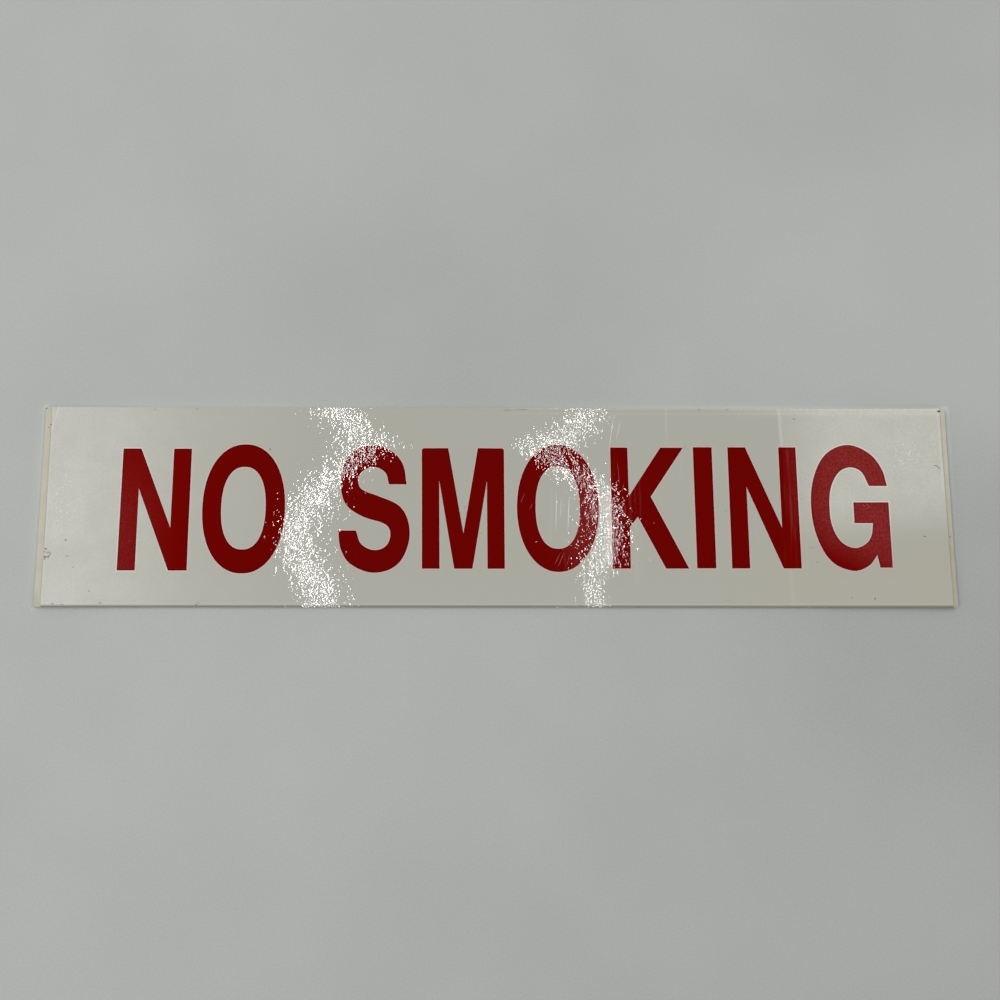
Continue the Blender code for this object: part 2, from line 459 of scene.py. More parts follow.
# Painted light and sheen towards the left end
LEFT_WIDE_SHARES = (-60.0, -120.0, 0.0, 0.06)
LEFT_NEAR_SHARES = (-104.0, -156.0, 0.0, 0.14)
LEFT_END_SHARES = (-145.0, -166.0, 0.0, 0.032)
LEFT_END_HEIGHTS = (34.0, 4.0)
LEFT_SHEEN_PATCH = ((-160.0, 2.0), (13.0, 22.0), 0.022)

# Painted sheen past the fold, along the strip and up it
FOLD_STEP_SHARES = (107.6, 108.6, 0.0, 0.04)
RIGHT_SHARES = (104.0, 130.0, 0.0, 0.145)
RIGHT_HEIGHTS = (-20.0, 3.0)

# Unevenness of the painted light and sheen
GRAIN_NOISE = (0.8, 3.0)
GRAIN_SPAN = (0.32, 0.68)
CLOUD_NOISE = (7.0, 2.0)
CLOUD_SHARES = (0.3, 0.7, 0.9, 1.1)

# Painted glints, and painted sheen in upright streaks
SPARKLE_NOISE = (0.6, 1.0)
SPARKLE_SHARES = (0.64, 0.76)
SPARKLE_PATCHES = (
    ((154.5, 19.5), (9.0, 9.5)),
    ((-162.5, 1.0), (9.0, 20.0), 0.55),
)
# Upright streaks of painted sheen, where slight bends catch the light
STREAK_NOISE = (1.1, 3.0, (1.0, 0.045, 1.0))
STREAK_SHARES = (0.52, 0.74)
STREAK_SHEEN_PATCHES = (
    ((26.0, -6.0), (12.0, 26.0)),
    ((50.0, -2.0), (9.0, 34.0)),
    ((112.0, 0.0), (7.0, 60.0), 1.3),
)

# Pale lines along the creases, stress-whitening with painted sheen, and painted sheen along two faint
# bends, each within a patch
FOLD_SLANT = (1.0, 0.036, -108.85)
FOLD_LINE = (0.0, 1.1)
FOLD_SHARES = (16.0, 28.0, 0.035, 0.15)
SHORT_LINE = (64.3, 0.8)
SHORT_SHARES = (20.0, 34.0, 0.0, 0.075)
BEND_SHEEN_LINES = (
    ((69.2, 0.6, 0.02), ((69.2, 15.0), (3.0, 9.0))),
    ((52.0, 1.6, 0.02), ((52.0, -18.0), (4.0, 18.0))),
)

# A painted highlight along a short bend across the film's top left corner: a place on it, the way across
# it, its line
CORNER_PLACE = (-169.1, 27.5)
CORNER_WAY = (0.963, -0.268)
CORNER_LINE = (0.0, 0.5, 0.13)
CORNER_HEIGHTS = (25.5, 31.0)

# Rims: painted highlights along the top edge, the cut ends and the bottom roll, and painted shade on the
# bottom roll
RIM_NOISE = (0.6, 2.0, (1.0, 0.2, 1.0))
RIM_NOISE_SHARES = (0.35, 0.65, 0.6, 1.2)
TOP_RIM_LINES = ((HALF_WIDTH - 0.15, 0.6, 0.11), (HALF_WIDTH - 2.1, 0.45, 0.07))
TOP_RIM_SHARES = (-5.0, 14.0, 0.15, 1.0)
BROAD_RIM_HEIGHTS = (HALF_WIDTH - 4.2, HALF_WIDTH - 0.8)
BROAD_RIM_SHARES = (78.0, 112.0, 0.0, 0.10)
LEFT_RIM_LINE = (0.3, 0.5, 0.09)
RIGHT_RIM_LINE = (0.6, 0.9, 0.10)
RIGHT_RIM_HEIGHTS = (-5.0, 15.0)
ROLL_LINE = (-HALF_WIDTH + 1.1, 0.32, 0.11)
ROLL_SHADE_SHARES = (
    (-HALF_WIDTH + 0.92, -HALF_WIDTH + 0.72, 0.0, 0.5),
    (-HALF_WIDTH + 0.45, -HALF_WIDTH + 0.15, 0.0, 0.4),
)

# The film: its mottled tone, and how much of each finish shows on it
MOTTLE_NOISE = (38.0, 3.0)
MOTTLE_SHARES = (0.35, 0.75, 0.0, 0.3)
YELLOWED_SHARES = (60.0, 125.0, 0.0, 0.55)
YELLOWED_HEIGHTS = (0.0, -28.0)
FILM_RIGHT_SLANT = (-0.09, 1.0, 10.0)
FILM_RIGHT_GRAIN = 0.2
FILM_LEFT_GRAIN = 0.14
FILM_LOW_SHARES = (-16.0, -34.0, 0.0, 0.012)
FILM_SPARKLES = 0.70
FILM_STREAKS = 0.035

# The ink: the painted sheen that it hides, and how much of each finish shows on it
INK_HIDES_LEFT = 0.09
INK_HIDES_RIGHT = 0.03
INK_LEFT_HEIGHTS = (22.0, -6.0, 0.35, 1.1)
INK_RIGHT_SLANT = (0.45, 1.0, -50.4)
INK_GRAIN = 0.4
INK_LEFT = 0.35
INK_RIGHT = 0.46
INK_STREAKS = 0.05
INK_SPARKLES = 0.25
# A painted reflection over the second O
INK_REFLECTION_PATCH = ((32.0, -5.0), (9.5, 26.0))
INK_REFLECTION = 0.045
INK_LIT_LEFT_SHARES = (-85.0, -135.0)
INK_LIT_RIGHT_SHARES = (106.0, 112.0, 0.0, 0.7)
BLEED_SHEEN = 1.6

# The liner
FIBRE_NOISE = (0.5, 3.0)
FIBRE_SHARES = (0.3, 0.7, 0.0, 0.14)
BLOTCH_NOISE = (5.0, 2.0)
BLOTCH_SHARES = (0.4, 0.7, 0.0, 0.16)
# The liner darker towards the bottom of its right end
LINER_DARKER_RIGHT_SHARES = (150.0, 165.0)
LINER_DARKER_LOW_HEIGHTS = (24.0, -20.0, 0.05, 0.60)
# A painted shadow along the film's right edge on the bare liner
FILM_EDGE_SHADOW_LINE = (0.15, 0.4, 0.3)
LINER_CORNER = ((-171.0, -38.0), (2.5, 7.0), 0.35)
PAPER_NOISE = (0.4, 3.0)

# Dirt
DIRT_NOISE = (0.3, 2.0)
DIRT_SPREAD = 1.5

# Light that the strip's top edge and ends throw on the table, within a reach past its ends
EDGE_LIGHT_REACH = (2.5, -1.5)
TOP_LIGHT_BROAD = (HALF_WIDTH, 5.0, 0.06)
TOP_LIGHT_NARROW = (HALF_WIDTH, 1.8)
TOP_LIGHT_SHARES = (0.0, 100.0, 0.10, 0.24)
LEFT_LIGHT_BROAD = (-HALF_LENGTH, 5.0, 0.07)
LEFT_LIGHT_NARROW = (-HALF_LENGTH, 1.6, 0.22)
RIGHT_LIGHT = (HALF_LENGTH, 2.2)
RIGHT_LIGHT_HEIGHTS = (-30.0, 20.0, 0.12, 0.20)

# The floor, with painted light and shade: a fall from lighter left to darker right, and lighter and darker
# patches
FLOOR_CLOUD_NOISE = (60.0, 4.0)
FLOOR_CLOUD_SHARES = (0.3, 0.7, 0.98, 1.02)
FLOOR_GRAIN_NOISE = (0.8, 3.0)
FLOOR_GRAIN_SHARES = (0.3, 0.7, 0.965, 1.035)
FLOOR_LIGHT_FALL = (-180.0, 180.0, 1.05, 0.96)
FLOOR_LIGHT_PATCHES = (
    ((180.0, 80.0), (160.0, 90.0), 0.07),
    ((-35.0, 70.0), (110.0, 70.0), -0.05),
    ((215.0, -45.0), (150.0, 95.0), -0.08),
    ((-60.0, -80.0), (170.0, 60.0), 0.03),
)


def left_painted_light(shading):
    """How much painted light and sheen the film has towards its left end."""
    end = shading.ramp(shading.x, *LEFT_END_SHARES)
    return shading.total(
        shading.ramp(shading.x, *LEFT_WIDE_SHARES),
        shading.ramp(shading.x, *LEFT_NEAR_SHARES),
        shading.product(end, shading.ramp(shading.y, *LEFT_END_HEIGHTS)),
        shading.patch(*LEFT_SHEEN_PATCH),
    )


def right_painted_sheen(shading, height):
    """How much painted sheen the sign has past the fold, easing off below a height."""
    step = shading.ramp(shading.x, *FOLD_STEP_SHARES)
    rise = shading.ramp(shading.x, *RIGHT_SHARES)
    return shading.product(shading.total(step, rise), shading.ramp(height, *RIGHT_HEIGHTS))


def grain(shading, unevenness):
    """A fine grain about 1 that the painted light and sheen are multiplied by."""
    return shading.ramp(shading.noise(*GRAIN_NOISE), *GRAIN_SPAN, 1.0 - unevenness, 1.0 + unevenness)


def clouds(shading):
    """A coarse unevenness about 1."""
    return shading.ramp(shading.noise(*CLOUD_NOISE), *CLOUD_SHARES)


def painted_glints(shading):
    """Painted glints: fine bright points where the painted sheen is roughest."""
    points = shading.ramp(shading.noise(*SPARKLE_NOISE), *SPARKLE_SHARES)
    return shading.product(points, shading.patches(SPARKLE_PATCHES))


def painted_sheen_streaks(shading):
    """Faint upright streaks of painted sheen, strongest over the middle of the second word."""
    lines = shading.ramp(shading.noise(*STREAK_NOISE), *STREAK_SHARES)
    return shading.product(lines, shading.patches(STREAK_SHEEN_PATCHES))


def crease_marks(shading):
    """The pale lines along the creases, clearest near the top edge, stress-whitening with painted sheen,
    and painted sheen along two faint bends.
    """
    fold = shading.line(shading.slanted(*FOLD_SLANT), *FOLD_LINE)
    short = shading.line(shading.x, *SHORT_LINE)
    return shading.total(
        shading.product(fold, shading.ramp(shading.y, *FOLD_SHARES)),
        shading.product(short, shading.ramp(shading.y, *SHORT_SHARES)),
        *(
            shading.product(shading.line(shading.x, *line), shading.patch(*place))
            for line, place in BEND_SHEEN_LINES
        ),
    )


def rim_highlights(shading):
    """Painted highlights along the rims: the top edge's, mostly on its right half, the cut ends' and the
    bottom roll's.
    """
    outer, inner = (shading.line(shading.y, *line) for line in TOP_RIM_LINES)
    top = shading.product(shading.total(outer, inner), shading.ramp(shading.x, *TOP_RIM_SHARES))
    broad = shading.product(
        shading.ramp(shading.y, *BROAD_RIM_HEIGHTS), shading.ramp(shading.x, *BROAD_RIM_SHARES)
    )
    streaky = shading.ramp(shading.noise(*RIM_NOISE), *RIM_NOISE_SHARES)
    left_edge = shading.slanted(1.0, FILM_LEFT_SLOPE, -FILM_LEFT)
    right_edge = shading.slanted(-1.0, -FILM_RIGHT_SLOPE, FILM_RIGHT)
    right = shading.line(right_edge, *RIGHT_RIM_LINE)
    return shading.total(
        shading.product(shading.total(top, broad), streaky),
        shading.line(left_edge, *LEFT_RIM_LINE),
        shading.product(right, shading.ramp(shading.y, *RIGHT_RIM_HEIGHTS)),
        shading.line(shading.y, *ROLL_LINE),
    )


def corner_painted_highlight(shading):
    """A painted highlight along a short bend across the film's top left corner."""
    offset = Vector(CORNER_PLACE).dot(Vector(CORNER_WAY))
    across = shading.slanted(*CORNER_WAY, -offset)
    return shading.product(shading.line(across, *CORNER_LINE), shading.ramp(shading.y, *CORNER_HEIGHTS))


def orange_peel(shading):
    """Fine dimples over a slight wobble, which break the lamps' reflections into flakes."""
    peel = shading.noise(*ORANGE_PEEL_NOISE)
    wobble = shading.product(shading.noise(*WOBBLE_NOISE), WOBBLE_SHARE)
    shading.bump(shading.total(peel, wobble), ORANGE_PEEL_DEPTH)


def film_material():
    shading = Shading("film", GLOSS_ROUGHNESS, GLOSS_SPECULAR)
    mottle = shading.ramp(shading.noise(*MOTTLE_NOISE), *MOTTLE_SHARES)
    yellow = shading.product(
        shading.ramp(shading.x, *YELLOWED_SHARES), shading.ramp(shading.y, *YELLOWED_HEIGHTS)
    )
    tone = shading.mix(shading.total(mottle, yellow), FILM_COLOUR, FILM_YELLOW)
    # Painted highlights along the rims
    highlighted = shading.mix(rim_highlights(shading), tone, RIM_HIGHLIGHT_CREAM)
    # Painted sheen past the fold
    right = right_painted_sheen(shading, shading.slanted(*FILM_RIGHT_SLANT))
    warm_light = shading.product(right, grain(shading, FILM_RIGHT_GRAIN), clouds(shading))
    warmed = shading.mix(warm_light, highlighted, WARM_SHEEN_COLOUR)
    # Painted light and sheen towards the left end, lighter towards the bottom edge, painted glints, painted
    # sheen streaks, pale crease lines and a painted corner highlight
    pale = shading.total(
        shading.product(left_painted_light(shading), grain(shading, FILM_LEFT_GRAIN), clouds(shading)),
        shading.ramp(shading.y, *FILM_LOW_SHARES),
        shading.product(painted_glints(shading), FILM_SPARKLES),
        shading.product(painted_sheen_streaks(shading), FILM_STREAKS),
        crease_marks(shading),
        corner_painted_highlight(shading),
    )
    sheened = shading.mix(pale, warmed, FILM_SHEEN_COLOUR)
    # Painted shade on the lower part of the bottom roll
    brown_roll_shade, dark_roll_shade = (shading.ramp(shading.y, *shares) for shares in ROLL_SHADE_SHARES)
    shading.colour(shading.mix(shading.total(brown_roll_shade, dark_roll_shade), sheened, ROLL_SHADE_COLOUR))
    orange_peel(shading)
    return shading.material


def ink_material(name, colour, warm_light):
    shading = Shading(name, GLOSS_ROUGHNESS, GLOSS_SPECULAR)
    left = shading.above(left_painted_light(shading), INK_HIDES_LEFT)
    lower = shading.ramp(shading.y, *INK_LEFT_HEIGHTS)
    right = shading.above(right_painted_sheen(shading, shading.slanted(*INK_RIGHT_SLANT)), INK_HIDES_RIGHT)
    uneven = grain(shading, INK_GRAIN)
    # Painted light and sheen, painted glints and sheen streaks, and a painted reflection over the second O
    pale = shading.total(
        shading.product(left, lower, uneven, INK_LEFT),
        shading.product(right, uneven, clouds(shading), INK_RIGHT),
        shading.product(painted_sheen_streaks(shading), INK_STREAKS),
        shading.product(painted_glints(shading), INK_SPARKLES),
        shading.product(shading.patch(*INK_REFLECTION_PATCH), uneven, INK_REFLECTION),
    )
    # Painted light: the red brighter towards the left end and past the fold
    lit_red = shading.total(
        shading.ramp(shading.x, *INK_LIT_LEFT_SHARES), shading.ramp(shading.x, *INK_LIT_RIGHT_SHARES)
    )
    shading.colour(shading.mix(pale, shading.mix(lit_red, colour, warm_light), INK_SHEEN_COLOUR))
    orange_peel(shading)
    return shading.material


def bleed_material():
    shading = Shading("ink_bleed", GLOSS_ROUGHNESS, GLOSS_SPECULAR)
    # The bleed takes the film's painted light and sheen
    sheen_share = shading.total(left_painted_light(shading), right_painted_sheen(shading, shading.y))
    shading.colour(shading.mix(shading.product(sheen_share, BLEED_SHEEN), BLEED_COLOUR, FILM_SHEEN_COLOUR))
    orange_peel(shading)
    return shading.material


def liner_material():
    shading = Shading("liner", LINER_ROUGHNESS)
    past_film = shading.slanted(1.0, FILM_RIGHT_SLOPE, -FILM_RIGHT)
    # Darker towards the bottom of the right end
    darker_low_right = shading.ramp(shading.x, *LINER_DARKER_RIGHT_SHARES)
    share = shading.total(
        shading.ramp(shading.noise(*FIBRE_NOISE), *FIBRE_SHARES),
        shading.ramp(shading.noise(*BLOTCH_NOISE), *BLOTCH_SHARES),
        shading.product(darker_low_right, shading.ramp(shading.y, *LINER_DARKER_LOW_HEIGHTS)),
        # Painted shadow along the film's right edge
        shading.line(past_film, *FILM_EDGE_SHADOW_LINE),
        shading.patch(*LINER_CORNER),
    )
    shading.colour(shading.mix(share, LINER_COLOUR, LINER_SHADE))
    shading.bump(shading.noise(*PAPER_NOISE), PAPER_DEPTH)
    return shading.material


def dirt_material(name, colour, roughness=DIRT_ROUGHNESS):
    """A blotchy matt colour, from the given one to a lighter one."""
    shading = Shading(name, roughness)
    lighter = tuple(min(1.0, channel * DIRT_SPREAD) for channel in colour)
    shading.colour(shading.mix(shading.noise(*DIRT_NOISE), colour, lighter))
    return shading.material


def alongside(shading, value, half_size):
    """1 alongside the strip, easing to 0 past its ends."""
    past, before = EDGE_LIGHT_REACH
    return shading.ramp(shading.math("ABSOLUTE", value), half_size + past, half_size + before)


def rim_light(shading):
    """The light that the strip's top edge and ends throw on the table beside them."""
    narrow = shading.line(shading.y, *TOP_LIGHT_NARROW)
    top = shading.total(
        shading.line(shading.y, *TOP_LIGHT_BROAD),
        shading.product(narrow, shading.ramp(shading.x, *TOP_LIGHT_SHARES)),
    )
    right = shading.line(shading.x, *RIGHT_LIGHT)
    ends = shading.total(
        shading.line(shading.x, *LEFT_LIGHT_BROAD),
        shading.line(shading.x, *LEFT_LIGHT_NARROW),
        shading.product(right, shading.ramp(shading.y, *RIGHT_LIGHT_HEIGHTS)),
    )
    return shading.total(
        shading.product(top, alongside(shading, shading.x, HALF_LENGTH)),
        shading.product(ends, alongside(shading, shading.y, HALF_WIDTH)),
    )


def floor_material():
    shading = Shading("floor", FLOOR_ROUGHNESS, FLOOR_SPECULAR)
    cloud = shading.ramp(shading.noise(*FLOOR_CLOUD_NOISE), *FLOOR_CLOUD_SHARES)
    fine = shading.ramp(shading.noise(*FLOOR_GRAIN_NOISE), *FLOOR_GRAIN_SHARES)
    # Painted light and shade: lighter to the left, darker to the right, and patches
    across = shading.ramp(shading.x, *FLOOR_LIGHT_FALL)
    level = shading.total(
        shading.product(cloud, fine, across), shading.patches(FLOOR_LIGHT_PATCHES), rim_light(shading)
    )
    shading.colour(shading.scaled(FLOOR_COLOUR[:3], level))
    return shading.material


# Sheets


def make_liner():
    surface = draped_sheet(LINER_THICKNESS)
    trim_end(surface, -1, LEFT_END_SKEW, 0.0)
    trim_end(surface, 1, RIGHT_END_SKEW, 0.0)
    piece = add_piece("liner_sheet", surface, -LINER_THICKNESS, liner_material())
    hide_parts("release_liner")


def make_film():
    surface = draped_sheet(LINER_THICKNESS + GLUE_GAP)
    trim_end(surface, -1, BARE_LEFT_TOP, BARE_LEFT_BOTTOM)
    trim_end(surface, 1, BARE_RIGHT_TOP, BARE_RIGHT_BOTTOM)
    piece = add_piece("film_sheet", surface, FILM_THICKNESS, film_material())
    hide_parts("face_film")


# Letter shapes, in millimetres from the left of the letter and from its baseline


def corners(*points):
    """An outline with straight sides."""
    return [Vector(point) for point in points]


def oval(left, right, bottom, top, fullness, count=96):
    """A closed oval, an ellipse where its fullness is 2 and squarer above that."""
    middle = Vector(((left + right) / 2, (bottom + top) / 2))
    outline = []
    for i in range(count):
        angle = 2 * math.pi * i / count
        across, up = math.cos(angle), math.sin(angle)
        reach_x = (right - left) / 2 * math.copysign(abs(across) ** (2 / fullness), across)
        reach_y = (top - bottom) / 2 * math.copysign(abs(up) ** (2 / fullness), up)
        outline.append(middle + Vector((reach_x, reach_y)))
    return outline


def smooth(points, steps=6):
    """A smooth open curve through its points."""
    points = [Vector(point) for point in points]
    ends = [2 * points[0] - points[1]] + points + [2 * points[-1] - points[-2]]
    curve = []
    for before, start, end, after in zip(ends, ends[1:], ends[2:], ends[3:]):
        reach = (end - start).length
        out_way = (end - before).normalized() * reach
        in_way = (after - start).normalized() * reach
        for i in range(steps):
            t = i / steps
            curve.append(
                start * (2 * t**3 - 3 * t**2 + 1)
                + out_way * (t**3 - 2 * t**2 + t)
                + end * (3 * t**2 - 2 * t**3)
                + in_way * (t**3 - t**2)
            )
    curve.append(points[-1])
    return curve


def first_n():
    top = CAP_HEIGHT
    return [
        corners(
            (0, top), (6.45, top), (18.95, 15.6), (19.05, top), (25.4, top),
            (25.6, 0), (18.95, 0), (6.35, 30.8), (6.35, 0), (0, 0),
        )
    ]


def second_n():
    top = CAP_HEIGHT
    return [
        corners(
            (-0.05, top), (6.35, top), (19.2, 15.0), (19.3, top), (25.5, top),
            (25.65, 0), (19.2, 0), (6.35, 30.9), (6.35, 0), (-0.05, 0),
        )
    ]


def first_o():
    return [oval(0, 30.6, -1.25, 47.3, 2.16), oval(6.7, 23.7, 7.35, 39.0, 2.3)]


def second_o():
    return [oval(0, 30.4, -1.25, 47.1, 2.08), oval(6.65, 23.65, 7.2, 39.0, 2.3)]


def letter_m():
    top = CAP_HEIGHT
    return [
        corners(
            (0.5, top), (9.7, top), (15.4, 13.1), (21.15, top), (30.2, top), (30.7, top - 0.5),
            (30.6, 0), (24.5, 0), (24.35, 33.5), (18.55, 0), (12.05, 0), (6.35, 33.7),
            (6.25, 0), (0.05, 0), (0, top - 0.5),
        )
    ]


def letter_k():
    top = CAP_HEIGHT
    return [
        corners(
            (0, top), (6.15, top), (6.4, 26.9), (18.9, top), (27.1, top), (14.5, 27.0),
            (28.1, 0), (19.85, 0), (9.7, 19.65), (6.4, 15.5), (6.4, 0), (0, 0),
        )
    ]


def letter_i():
    return [corners((-0.1, CAP_HEIGHT), (6.7, CAP_HEIGHT), (6.7, 0), (-0.1, 0))]


def letter_s():
    over = [
        (24.9, 32.3), (23.5, 39.6), (19.25, 44.6), (11.8, 46.95), (4.25, 44.05), (0.85, 36.8),
        (0.75, 29.5), (3.0, 23.9), (9.25, 19.8), (17.25, 17.1), (19.4, 13.8), (18.0, 8.8),
        (13.25, 6.9), (8.2, 9.35), (6.25, 14.3),
    ]
    under = [
        (-0.15, 14.3), (1.0, 7.4), (4.6, 2.0), (13.1, -1.25), (21.5, 1.5), (25.8, 9.3),
        (25.75, 17.8), (22.25, 23.8), (14.25, 27.55), (7.9, 30.3), (6.65, 34.2), (8.4, 37.3),
        (12.65, 38.95), (17.1, 36.8), (18.6, 32.3),
    ]
    return [smooth(over) + smooth(under)]


def letter_g():
    over = [
        (28.65, 31.1), (27.05, 37.4), (22.6, 43.4), (14.5, 46.6), (6.2, 42.9), (1.3, 33.6),
        (0.0, 22.75), (1.65, 11.8), (6.65, 2.5), (14.5, -1.1), (20.3, 0.75), (23.9, 5.1),
    ]
    spur_and_bar = [(24.85, 0.1), (29.15, 0.1), (28.9, 24.5), (16.0, 24.5), (16.0, 16.9)]
    under = [
        (23.0, 16.9), (22.2, 12.1), (19.9, 8.8), (15.5, 7.15), (10.4, 9.6), (7.3, 15.6),
        (6.6, 22.75), (7.4, 30.0), (10.5, 36.0), (15.0, 38.25), (19.4, 36.6), (22.15, 31.1),
    ]
    return [smooth(over) + corners(*spur_and_bar) + smooth(under)]


# Where each letter stands, in millimetres: left edge at the top, baseline, height, lean of its foot
WORDS = (
    ("n_1", first_n, -140.95, -24.3, 46.15, -0.3),
    ("o_1", first_o, -110.35, -24.15, 46.1, -0.1),
    ("s", letter_s, -59.25, -23.8, 45.8, 0.0),
    ("m", letter_m, -28.35, -23.5, 45.5, 0.4),
    ("o_2", second_o, 7.45, -23.45, 45.65, 0.3),
    ("k", letter_k, 43.0, -23.4, 46.0, 0.3),
    ("i", letter_i, 74.5, -23.3, 46.1, 0.45),
    ("n_2", second_n, 87.6, -23.3, 46.1, 0.4),
    ("g", letter_g, 118.35, -23.1, 45.95, 0.2),
)


def place_outline(outline, left, baseline, height, lean):
    """An outline in metres, where its letter stands on the strip."""
    placed = []
    for point in outline:
        up = point.y / CAP_HEIGHT
        placed.append(Vector((left + point.x + lean * (1 - up), baseline + up * height)) * MM)
    return placed


def grown(outline, reach):
    """A closed outline with each side moved outward by a reach, or inward where it is negative.

    Outlines may run either way round: the sign of their area tells which side is out.
    """
    area = sum(a.x * b.y - b.x * a.y for a, b in zip(outline, outline[1:] + outline[:1]))
    way = math.copysign(1.0, area)
    moved = []
    for i, point in enumerate(outline):
        before = (point - outline[i - 1]).normalized()
        after = (outline[(i + 1) % len(outline)] - point).normalized()
        out_before = Vector((before.y, -before.x)) * way
        out_after = Vector((after.y, -after.x)) * way
        mitre = max(MITRE_LIMIT, 1.0 + out_before.dot(out_after))
        moved.append(point + (out_before + out_after) * (reach / mitre))
    return moved


def printed(name, outlines, level, thickness, material):
    """Lays a flat printed shape over the film, with its first outline outside and any others as holes."""
    surface = bmesh.new()
    edges = []
    for outline in outlines:
        verts = [surface.verts.new((point.x, point.y, 0.0)) for point in outline]
        edges += [surface.edges.new(pair) for pair in zip(verts, verts[1:] + verts[:1])]
    bmesh.ops.triangle_fill(surface, edges=edges, use_beauty=True, use_dissolve=False)
    inner_edges = [edge for edge in surface.edges if len(edge.link_faces) == 2]
    bmesh.ops.dissolve_limit(surface, angle_limit=math.radians(FLAT_ANGLE), verts=[], edges=inner_edges)
    xs = [vert.co.x for vert in surface.verts]
    ys = [vert.co.y for vert in surface.verts]
    for column in COLUMNS:
        if min(xs) < column < max(xs):
            cut(surface, (column, 0.0, 0.0), (1.0, 0.0, 0.0))
    for row in ROWS:
        if min(ys) < row < max(ys):
            cut(surface, (0.0, row, 0.0), (0.0, 1.0, 0.0))
    for vert in surface.verts:
        vert.co.z = FILM_TOP + lift(vert.co.x, vert.co.y) + level
    add_piece(name, surface, -thickness, material)


def make_print():
    ink = ink_material("ink", INK_COLOUR, INK_LIT_RED)
    edge = ink_material("ink_edge", INK_EDGE_COLOUR, INK_EDGE_COLOUR)
    bleed = bleed_material()
    layers = (
        ("bleed_", BLEED_WIDTH, BLEED_LEVEL, INK_THICKNESS, bleed),
        ("edge_", INK_SPREAD, INK_LEVEL, INK_THICKNESS, edge),
        ("letter_", -BEAD_WIDTH, BEAD_LEVEL, BEAD_THICKNESS, ink),
    )
    for name, shape, *standing in WORDS:
        outer, *holes = [place_outline(outline, *standing) for outline in shape()]
        for kind, reach, level, thickness, material in layers:
            outlines = [grown(outer, reach)] + [grown(hole, -reach) for hole in holes]
            printed(kind + name, outlines, level, thickness, material)


# Wear and dirt, and one painted highlight. A speck is its place, half length and half width in millimetres,
# and its turn in degrees.
# A scratch is its two ends and its half width in millimetres.

DARK_SPECKS = (
    (-168.8, 31.2, 0.30, 0.17, 40),
    (-111.5, -37.3, 0.45, 0.15, 0),
    (-85.9, 21.9, 0.30, 0.22, 20),
    (-12.1, -0.3, 0.20, 0.16, 0),
    (113.1, 34.0, 0.24, 0.20, 0),
    (87.9, -15.4, 0.35, 0.12, 60),
    (140.6, -34.9, 0.34, 0.22, 0),
    (132.0, -34.6, 0.20, 0.18, 0),
    (160.5, -11.3, 0.42, 0.15, 0),
    (168.5, 37.0, 0.60, 0.36, -5),
)
FAINT_SPECKS = (
    (77.0, 37.7, 0.60, 0.20, 0),
    (87.7, 37.7, 0.50, 0.16, 0),
    (65.9, -37.8, 0.70, 0.25, 0),
    (115.9, -37.8, 0.55, 0.25, 0),
    (-160.9, -13.1, 0.50, 0.35, 0),
    (-160.0, -19.1, 0.80, 0.12, 0),
    (-157.6, -23.2, 0.45, 0.13, 45),
    (-151.3, -32.2, 0.26, 0.22, 0),
    (-146.9, -36.7, 0.60, 0.22, -20),
    (-164.4, -36.9, 0.55, 0.20, 10),
    (-160.8, -37.2, 0.40, 0.16, 0),
    (-110.8, -36.6, 0.70, 0.16, 0),
    (-129.9, 37.2, 0.35, 0.20, 0),
    (-114.1, 37.5, 0.35, 0.20, 0),
    (-6.1, -10.2, 0.25, 0.18, 0),
    (4.0, 37.2, 1.60, 0.14, 0),
    (9.5, 37.4, 2.20, 0.16, 0),
    (71.2, 23.0, 0.28, 0.24, 0),
    (86.1, -1.7, 0.24, 0.20, 0),
    (114.8, 3.1, 0.24, 0.20, 0),
    (116.7, 10.7, 0.24, 0.18, 0),
    (119.8, -21.0, 0.50, 0.20, -35),
    (118.0, -15.6, 1.30, 0.06, 0),
    (85.8, -35.6, 0.24, 0.20, 0),
)
LINER_SPECKS = (
    (-169.7, 30.2, 0.22, 0.16, 30),
    (-171.0, 37.6, 0.30, 0.22, 0),
    (170.1, -11.5, 0.20, 0.26, 0),
)
# A pale speck, and a painted highlight just under the dark speck at the top right corner
PALE_SPECKS_AND_HIGHLIGHT = (
    (57.1, -20.4, 0.14, 0.45, 10),
    (168.8, 36.3, 0.60, 0.16, -5),
)
PINK_SPECKS = (
    (-137.3, -13.4, 0.20, 0.20, 0),
    (58.8, -6.3, 0.22, 0.30, 0),
    (24.4, -16.4, 0.30, 0.18, 20),
)
PALE_SCRATCHES = (
    (22.3, 6.5, 22.0, -10.0, 0.14),
    (24.0, 3.5, 23.9, -4.5, 0.10),
    (27.2, 5.5, 26.4, -10.5, 0.16),
    (44.6, 36.5, 42.0, 20.0, 0.12),
    (47.2, 34.0, 45.0, 25.5, 0.10),
)
PINK_SCRATCHES = (
    (10.4, 5.3, 8.7, 1.1, 0.10),
    (13.5, 1.5, 12.0, -1.5, 0.09),
    (23.8, -17.2, 21.2, -22.6, 0.11),
    (25.0, -17.4, 22.5, -23.4, 0.13),
    (27.1, -18.2, 25.8, -23.0, 0.11),
    (45.5, 17.9, 46.2, 7.9, 0.10),
    (47.8, 9.2, 47.0, 5.0, 0.09),
    (48.1, 0.7, 48.1, -3.6, 0.09),
    (137.5, 1.2, 138.8, -0.3, 0.12),
    (139.0, 1.5, 140.4, -0.8, 0.12),
    (138.2, -1.2, 140.9, 0.2, 0.08),
)
HAIR = ((165.4, 15.8), (166.2, 15.9), (167.0, 15.4), (167.7, 14.6))
HAIR_HALF_WIDTH = 0.09
MARK_LEVEL = 0.034 * MM
MARK_THICKNESS = 0.004 * MM
SPECK_CORNERS = 10
SPECK_RAGGEDNESS = 0.18
